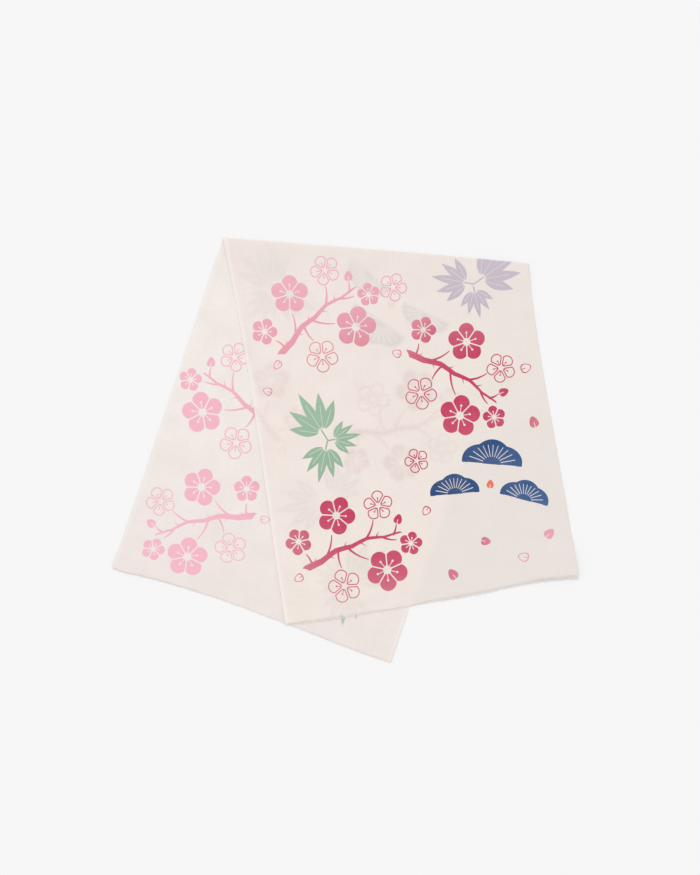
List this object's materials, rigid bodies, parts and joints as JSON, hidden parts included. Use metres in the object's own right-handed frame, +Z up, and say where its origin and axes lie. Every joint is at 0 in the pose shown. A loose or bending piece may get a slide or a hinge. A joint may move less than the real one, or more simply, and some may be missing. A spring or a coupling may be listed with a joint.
{
  "type": "folded tenugui towel",
  "caption": "Thin plain-woven cotton hand towel with raw cut ends and woven selvedges, folded on the slant and laid flat so the lower layer shows beside the upper one.",
  "frame": {"origin": "on the surface that the towel lies on, under the middle of its outline", "axes": "+Z up from that surface, +Y towards the folded edge, +X to the right as the upper layer is looked down on"},
  "size_m": [0.568, 0.516, 0.0054],
  "materials": {
    "dyed_cotton": "matt plain weave, undyed ground with a scattered dyed pattern"
  },
  "bodies": {
    "root": {"tenugui_cloth": "dyed_cotton"}
  },
  "joints": []
}
